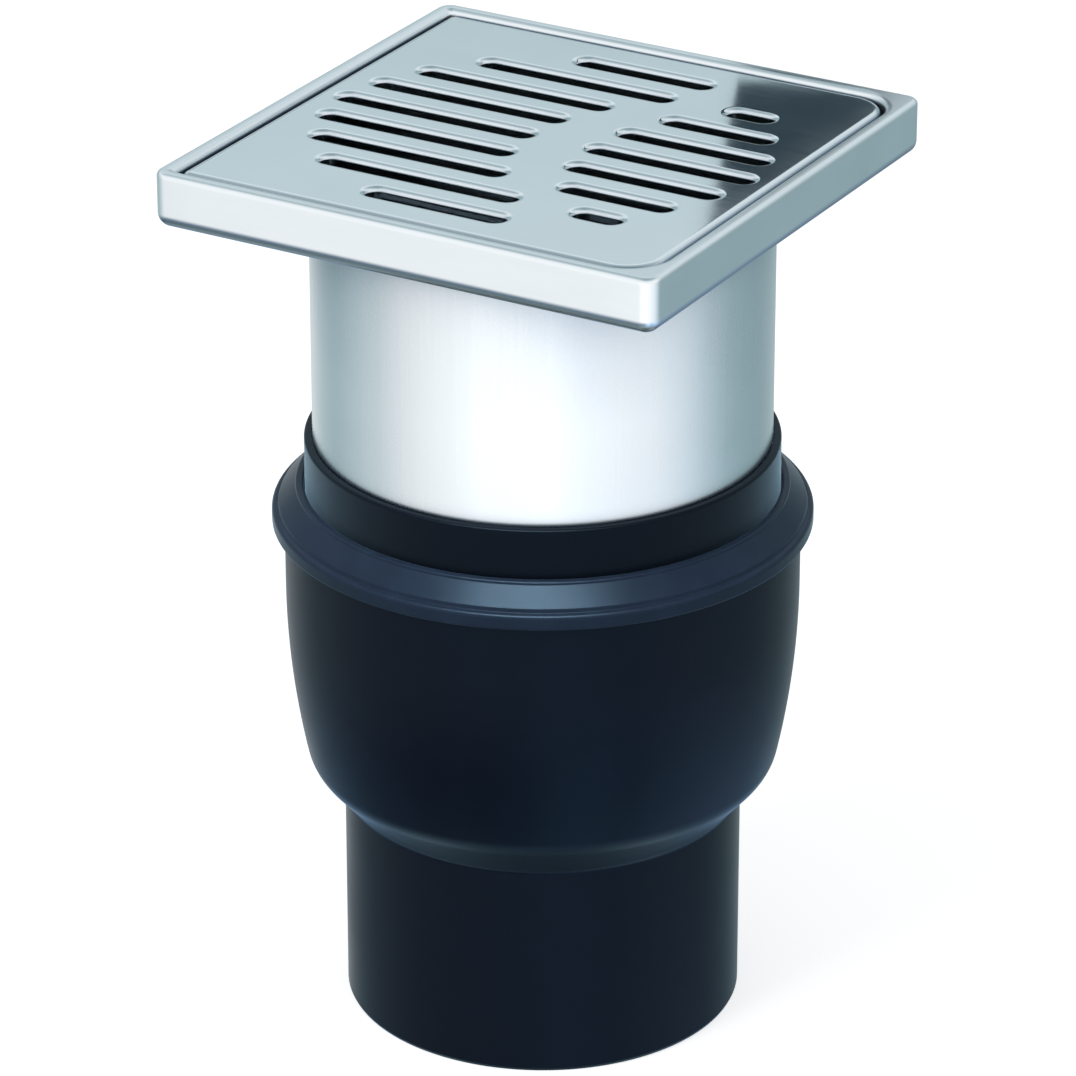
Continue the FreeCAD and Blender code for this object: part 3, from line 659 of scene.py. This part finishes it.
class GULLY_OT_grating(bpy.types.Operator):
    """Grating: a pressed sheet with a turned-down edge, its slots rolled down into lips"""

    bl_idname = "gully.grating"
    bl_label = "Grating"

    def execute(self, context):
        own = sizes()
        low, high = foot_of("grating"), top_of("grating")
        half = reach_of("grating")
        sheet = own.sheet
        edge = rounded([
            (20 * MM, high, 0),
            (0, high, own.grating_round),
            (0, low, 0.2 * MM),
            (sheet, low, 0.2 * MM),
            (sheet, high - sheet, 0.5 * MM),
            (20 * MM, high - sheet, 0),
        ], own.round_steps + 2)[1:-1]
        edge_loops = []
        for inset in edge[:, 0]:
            left = max(own.grating_square_corner - inset, 0.15 * MM)
            edge_loops.append(square_loop(half - inset, own.grating_corner - inset, left, 6, 12))
        width = own.slot_width / 2
        outline = width + own.slot_round
        lip = rounded([
            (20 * MM, high, 0),
            (width, high, own.slot_round),
            (width, high - own.lip_depth, 0.3 * MM),
            (width + sheet, high - own.lip_depth, 0.3 * MM),
            (width + sheet, high - sheet, 0.2 * MM),
            (20 * MM, high - sheet, 0),
        ], own.round_steps + 4)[1:-1]
        points = [stacked(edge_loops, edge[:, 1])]
        faces = [grid_faces(len(edge), len(edge_loops[0]), closed_rows=False)[:, ::-1]]
        start = len(points[0])
        around = len(edge_loops[0])
        top_ids = [np.arange(around)]
        under_ids = [np.arange(around) + (len(edge) - 1) * around]
        top_loops = [edge_loops[0]]
        under_loops = [edge_loops[-1]]
        for left, right, level in all_slots(half):
            loops = [slot_loop(left + outline, right - outline, level, radius, 20) for radius in lip[:, 0]]
            points.append(stacked(loops, lip[:, 1]))
            faces.append(grid_faces(len(lip), len(loops[0]), closed_rows=False) + start)
            ring = np.arange(len(loops[0])) + start
            top_ids.append(ring)
            under_ids.append(ring + (len(lip) - 1) * len(loops[0]))
            top_loops.append(loops[0])
            under_loops.append(loops[-1])
            start += len(points[-1])
        all_faces = [face for block in faces for face in block.tolist()]
        top = fill_between(top_loops[0], top_loops[1:])
        under = fill_between(under_loops[0], under_loops[1:])
        all_faces += np.concatenate(top_ids)[top].tolist()
        all_faces += np.concatenate(under_ids)[under][:, ::-1].tolist()
        # The grating gets painted shade inside its slots and along its edge.
        material = steel("grating_steel", finishes().grating_polish, (30.0, 1200.0, 400.0), 9 * MM)
        add_piece("grating_plate", np.concatenate(points), all_faces, material, "riser",
                  ["grating"], 40)
        return {"FINISHED"}


class GULLY_OT_trap(bpy.types.Operator):
    """Trap: finishes for the funnel, the cup and the ring seal inside the body"""

    bl_idname = "gully.trap"
    bl_label = "Trap"

    def execute(self, context):
        plastic = moulding("trap_plastic", finishes().trap, finishes().trap_polish, specular=0.3)
        rubber = moulding("ring_rubber", finishes().rubber, 0.5)
        for node, material in (("trap_funnel", plastic), ("trap_cup", plastic), ("trap_ring", rubber)):
            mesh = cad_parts[node].data
            mesh.materials.clear()
            mesh.materials.append(material)
        return {"FINISHED"}


def seen_from(turn, rise, distance):
    """A place at this distance from the part's middle, turned round Z from the camera's side towards the
    right of its picture, and raised by an angle. Both angles are in degrees."""
    way = math.radians(turn - 60)
    level = distance * math.cos(math.radians(rise))
    return (level * math.cos(way), level * math.sin(way), 0.14 + distance * math.sin(math.radians(rise)))


def area_lamp(name, place, size, power, tint=(1.0, 1.0, 1.0), shape="RECTANGLE", glossy=False):
    """A lamp of size (width, height) that faces the part. Gloss shows it only where asked."""
    data = bpy.data.lights.new(name, "AREA")
    data.shape = shape
    data.size, data.size_y = size
    data.energy = power
    data.color = tint
    lamp = bpy.data.objects.new(name, data)
    lamp.location = place
    lamp.rotation_euler = (Vector((0, 0, 0.14)) - Vector(place)).to_track_quat("-Z", "Y").to_euler()
    lamp.visible_glossy = glossy
    bpy.context.scene.collection.objects.link(lamp)
    return lamp


# The tones round the part are shares of this level. Angles are in degrees, 0 at the camera's side, and
# heights are those of a direction's tip on a sphere of radius 1.
STUDIO_LEVEL = 2.0
WALL_TONES = ((-180, 0.76), (-162, 0.92), (-139, 0.58), (-124, 0.48), (-103, 0.66), (-85, 0.80),
              (-70, 1.05), (-56, 1.20), (-43, 1.30), (-31, 1.50), (5, 1.50), (17, 1.22), (41, 1.17),
              (54, 1.07), (68, 0.91), (83, 0.71), (91, 0.58), (109, 0.40), (120, 0.42), (133, 0.38),
              (152, 0.50), (180, 0.76))
GROUND_TONES = ((-180, 0.80), (-160, 0.80), (-139, 0.60), (-110, 0.40), (-70, 0.20), (-10, 0.22),
                (8, 1.30), (28, 1.45), (45, 0.45), (56, 1.20), (84, 1.30), (100, 1.15), (112, 0.95),
                (125, 0.60), (160, 0.75), (180, 0.80))
BEHIND_TONES = ((0.0, (0.15, 0.21, 0.22)), (0.21, (0.15, 0.21, 0.22)), (0.34, (0.26, 0.32, 0.34)),
                (0.39, (0.33, 0.38, 0.40)), (0.48, (0.42, 0.46, 0.48)), (0.58, (0.42, 0.46, 0.48)),
                (0.80, (0.25, 0.30, 0.32)), (1.0, (0.15, 0.20, 0.22)))
AHEAD_TONES = ((0.0, (0.55, 0.56, 0.57)), (0.70, (0.55, 0.56, 0.57)), (0.85, (0.32, 0.36, 0.38)),
               (1.0, (0.15, 0.20, 0.22)))

# Tints of the darkest and the brightest tones round the part.
WALL_TINTS = ((0.70, 1.0, 1.07), (1.0, 1.0, 1.0))
GROUND_TINTS = ((0.48, 0.92, 1.45), (0.60, 0.90, 1.35))
GLOW_TONE = (0.52, 0.80, 0.92)
NADIR_TONE = (0.22, 0.34, 0.42)

# Heights at which one part of the studio starts to give way to the next, and at which it has.
WALLS_TO_SKY = (0.0, 0.08)
WALLS_TO_GROUND = (-0.49, -0.60)
GROUND_TO_GLOW = (-0.78, -0.90)
GLOW_TO_NADIR = (-0.93, -0.98)


def studio_world():
    """White behind the object, and for gloss a studio whose tone runs with the angle round Z from the
    camera's side: one way from the horizon to a little below it, another on the ground, then a glow that
    fades straight below. Above the horizon it runs with the height, behind the part and ahead of it."""
    world = bpy.data.worlds.new("studio")
    bpy.context.scene.world = world
    world.use_nodes = True
    world.node_tree.nodes.clear()
    nodes = Nodes(world.node_tree)
    way = nodes.add("ShaderNodeTexCoord").outputs["Generated"]
    turned_way = nodes.add("ShaderNodeMapping", {"Vector": way, "Rotation": (0, 0, math.radians(-30))})
    axes = nodes.add("ShaderNodeSeparateXYZ", {"Vector": turned_way.outputs["Vector"]})
    rise = axes.outputs["Z"]
    angle = nodes.math("ARCTAN2", axes.outputs["X"], nodes.math("MULTIPLY", axes.outputs["Y"], -1.0))
    turn = nodes.math("ADD", nodes.math("DIVIDE", angle, 2 * math.pi), 0.5)
    walls = ramp(nodes, turn, tones_around(WALL_TONES, *WALL_TINTS))
    ground = ramp(nodes, turn, tones_around(GROUND_TONES, *GROUND_TINTS))
    behind = ramp(nodes, rise, BEHIND_TONES)
    ahead = ramp(nodes, rise, AHEAD_TONES)
    facing = nodes.between(nodes.math("COSINE", angle), -0.7, 0.3, 0.0, 1.0)
    sky = nodes.mix(facing, behind, ahead)
    lower = nodes.mix(nodes.between(rise, *WALLS_TO_GROUND, 0.0, 1.0), walls, ground)
    lower = nodes.mix(nodes.between(rise, *GROUND_TO_GLOW, 0.0, 1.0), lower, full(GLOW_TONE))
    lower = nodes.mix(nodes.between(rise, *GLOW_TO_NADIR, 0.0, 1.0), lower, full(NADIR_TONE))
    studio = nodes.mix(nodes.between(rise, *WALLS_TO_SKY, 0.0, 1.0), lower, sky)
    path = nodes.add("ShaderNodeLightPath").outputs
    camera = nodes.add("ShaderNodeBackground", {"Color": (1, 1, 1, 1), "Strength": 1.0})
    gloss = nodes.add("ShaderNodeBackground", {"Color": studio, "Strength": STUDIO_LEVEL})
    light = nodes.add("ShaderNodeBackground", {"Color": (0.93, 0.97, 1.0, 1), "Strength": 0.45})
    shiny = nodes.math("MAXIMUM", path["Is Glossy Ray"], path["Is Transmission Ray"])
    seen = nodes.add("ShaderNodeMixShader", {0: shiny, 1: light.outputs[0], 2: gloss.outputs[0]})
    last = nodes.add("ShaderNodeMixShader", {0: path["Is Camera Ray"], 1: seen.outputs[0],
                                             2: camera.outputs[0]})
    nodes.add("ShaderNodeOutputWorld", {"Surface": last.outputs[0]})


def tones_around(levels, dark, bright):
    """Stops of a ramp over the full turn from levels at angles, with one tint for levels up to 0.35 and
    another for levels from 1 on."""
    stops = []
    for angle, level in levels:
        share_bright = min(max((level - 0.35) / 0.65, 0.0), 1.0)
        tint = [low + (high - low) * share_bright for low, high in zip(dark, bright)]
        stops.append((0.5 + angle / 360, [channel * level / STUDIO_LEVEL for channel in tint]))
    return stops


def ramp(nodes, factor, stops):
    """A colour that runs through stops of (place, colour)."""
    node = nodes.add("ShaderNodeValToRGB", {"Fac": factor})
    band = node.color_ramp
    band.interpolation = "LINEAR"
    band.elements[0].position, band.elements[0].color = stops[0][0], full(stops[0][1])
    band.elements[1].position, band.elements[1].color = stops[-1][0], full(stops[-1][1])
    for position, tone in stops[1:-1]:
        stop = band.elements.new(position)
        stop.color = full(tone)
    return node.outputs["Color"]


class GULLY_OT_stage(bpy.types.Operator):
    """Stage: the pale floor, the lamps, the studio round them and the camera"""

    bl_idname = "gully.stage"
    bl_label = "Stage"

    def execute(self, context):
        scene = bpy.context.scene
        scene.view_settings.view_transform = "Standard"
        studio_world()
        self.add_floor()
        area_lamp("key_lamp", seen_from(-52, 32, 2.8), size=(1.4, 1.4), power=26.0)
        area_lamp("fill_lamp", seen_from(33, 26, 2.5), size=(1.0, 1.4), power=8.0, tint=(0.93, 0.97, 1.0))
        self.add_ring_lamp()
        self.add_dark_card()
        self.add_camera()
        return {"FINISHED"}

    def add_ring_lamp(self):
        """A lamp high in front that lights the ring and the collar alone."""
        lit = bpy.data.collections.new("lit_by_ring_lamp")
        for name in ("clamp_ring_cap", "riser_seal_collar"):
            lit.objects.link(bpy.data.objects[name])
        lamp = area_lamp("ring_lamp", seen_from(-8, 62, 1.6), size=(1.2, 0.8), power=82.0,
                         tint=(1.0, 0.98, 0.96), shape="ELLIPSE", glossy=True)
        lamp.light_linking.receiver_collection = lit

    def add_flat(self, name, corners, tint, glow):
        """A flat matt piece of the stage with its colour and the colour it glows in."""
        mesh = bpy.data.meshes.new(name)
        mesh.from_pydata(corners, [], [list(range(len(corners)))])
        piece = bpy.data.objects.new(name, mesh)
        bpy.context.scene.collection.objects.link(piece)
        material = bpy.data.materials.new(name + "_matt")
        material.use_nodes = True
        shader = material.node_tree.nodes["Principled BSDF"]
        shader.inputs["Base Color"].default_value = full(tint)
        shader.inputs["Specular IOR Level"].default_value = 0.0
        shader.inputs["Emission Color"].default_value = full(glow)
        shader.inputs["Emission Strength"].default_value = 1.0
        mesh.materials.append(material)
        return piece, Nodes(material.node_tree), shader

    def add_floor(self):
        """Floor under the part: white to the camera, with the soft shadow that the lamps leave."""
        reach = 6.0
        corners = [(x, y, 0.0) for x, y in square_loop(reach, 1.0, 1.0, 2, 8).tolist()]
        floor, nodes, shader = self.add_flat("floor", corners, (0.9, 0.9, 0.9), (1.0, 1.0, 1.0))
        shader.inputs["Roughness"].default_value = 0.9
        camera_ray = nodes.add("ShaderNodeLightPath").outputs["Is Camera Ray"]
        glow = nodes.math("MULTIPLY", camera_ray, 0.62)
        nodes.tree.links.new(glow, shader.inputs["Emission Strength"])
        floor.visible_glossy = False

    def add_dark_card(self):
        """A dark card behind the right corner, which only gloss shows: the grating mirrors it. Its sloping
        edge keeps it out of what the frame's rim mirrors."""
        near = np.array((0.0014, 0.105))
        right = np.array((0.866, 0.5))
        corners = [(*(near + along * right), height) for along, height in
                   ((0.001, 0.272), (0.0592, 0.272), (-0.0086, 0.3268))]
        card, _, _ = self.add_flat("dark_card", corners, (0.010, 0.015, 0.020), (0.023, 0.040, 0.052))
        card.visible_camera = False
        card.visible_diffuse = False
        card.visible_shadow = False

    def add_camera(self):
        """Camera of the photograph: where it stands, how far it looks down and how long its lens is."""
        turn = math.radians(29.994)
        downward = math.radians(25.062)
        distance = 1.46956
        above_frame = 0.56886
        data = bpy.data.cameras.new("camera")
        data.sensor_width = 36.0
        data.lens = 198.45
        data.shift_x = -0.00444
        data.clip_start = 0.05
        data.clip_end = 50.0
        camera = bpy.data.objects.new("camera", data)
        height = top_of("frame") + above_frame
        camera.location = (distance * math.sin(turn), -distance * math.cos(turn), height)
        camera.rotation_euler = (math.pi / 2 - downward, 0, turn)
        bpy.context.scene.collection.objects.link(camera)
        bpy.context.scene.camera = camera


class GULLY_PT_panel(bpy.types.Panel):
    """Lists the pieces that can be built"""

    bl_idname = "GULLY_PT_panel"
    bl_label = "Floor gully"
    bl_space_type = "VIEW_3D"
    bl_region_type = "UI"
    bl_category = "Gully"

    def draw(self, context):
        for operator in OPERATORS:
            self.layout.operator(operator.bl_idname)
        for group in (context.scene.gully_sizes, context.scene.gully_finishes):
            for name in group.__annotations__:
                self.layout.prop(group, name)


OPERATORS = (
    GULLY_OT_gully_body,
    GULLY_OT_clamp_ring,
    GULLY_OT_riser_seal,
    GULLY_OT_riser_tube,
    GULLY_OT_frame,
    GULLY_OT_grating,
    GULLY_OT_trap,
    GULLY_OT_stage,
)
CLASSES = (GullySizes, GullyFinishes, *OPERATORS, GULLY_PT_panel)


def register():
    for entry in CLASSES:
        bpy.utils.register_class(entry)
    bpy.types.Scene.gully_sizes = bpy.props.PointerProperty(type=GullySizes)
    bpy.types.Scene.gully_finishes = bpy.props.PointerProperty(type=GullyFinishes)


def unregister():
    del bpy.types.Scene.gully_finishes
    del bpy.types.Scene.gully_sizes
    for entry in reversed(CLASSES):
        bpy.utils.unregister_class(entry)


def main():
    register()
    for operator in OPERATORS:
        group, name = operator.bl_idname.split(".")
        result = getattr(getattr(bpy.ops, group), name)()
        if result != {"FINISHED"}:
            raise RuntimeError("%s did not finish" % operator.bl_idname)


if __name__ == "__main__":
    main()
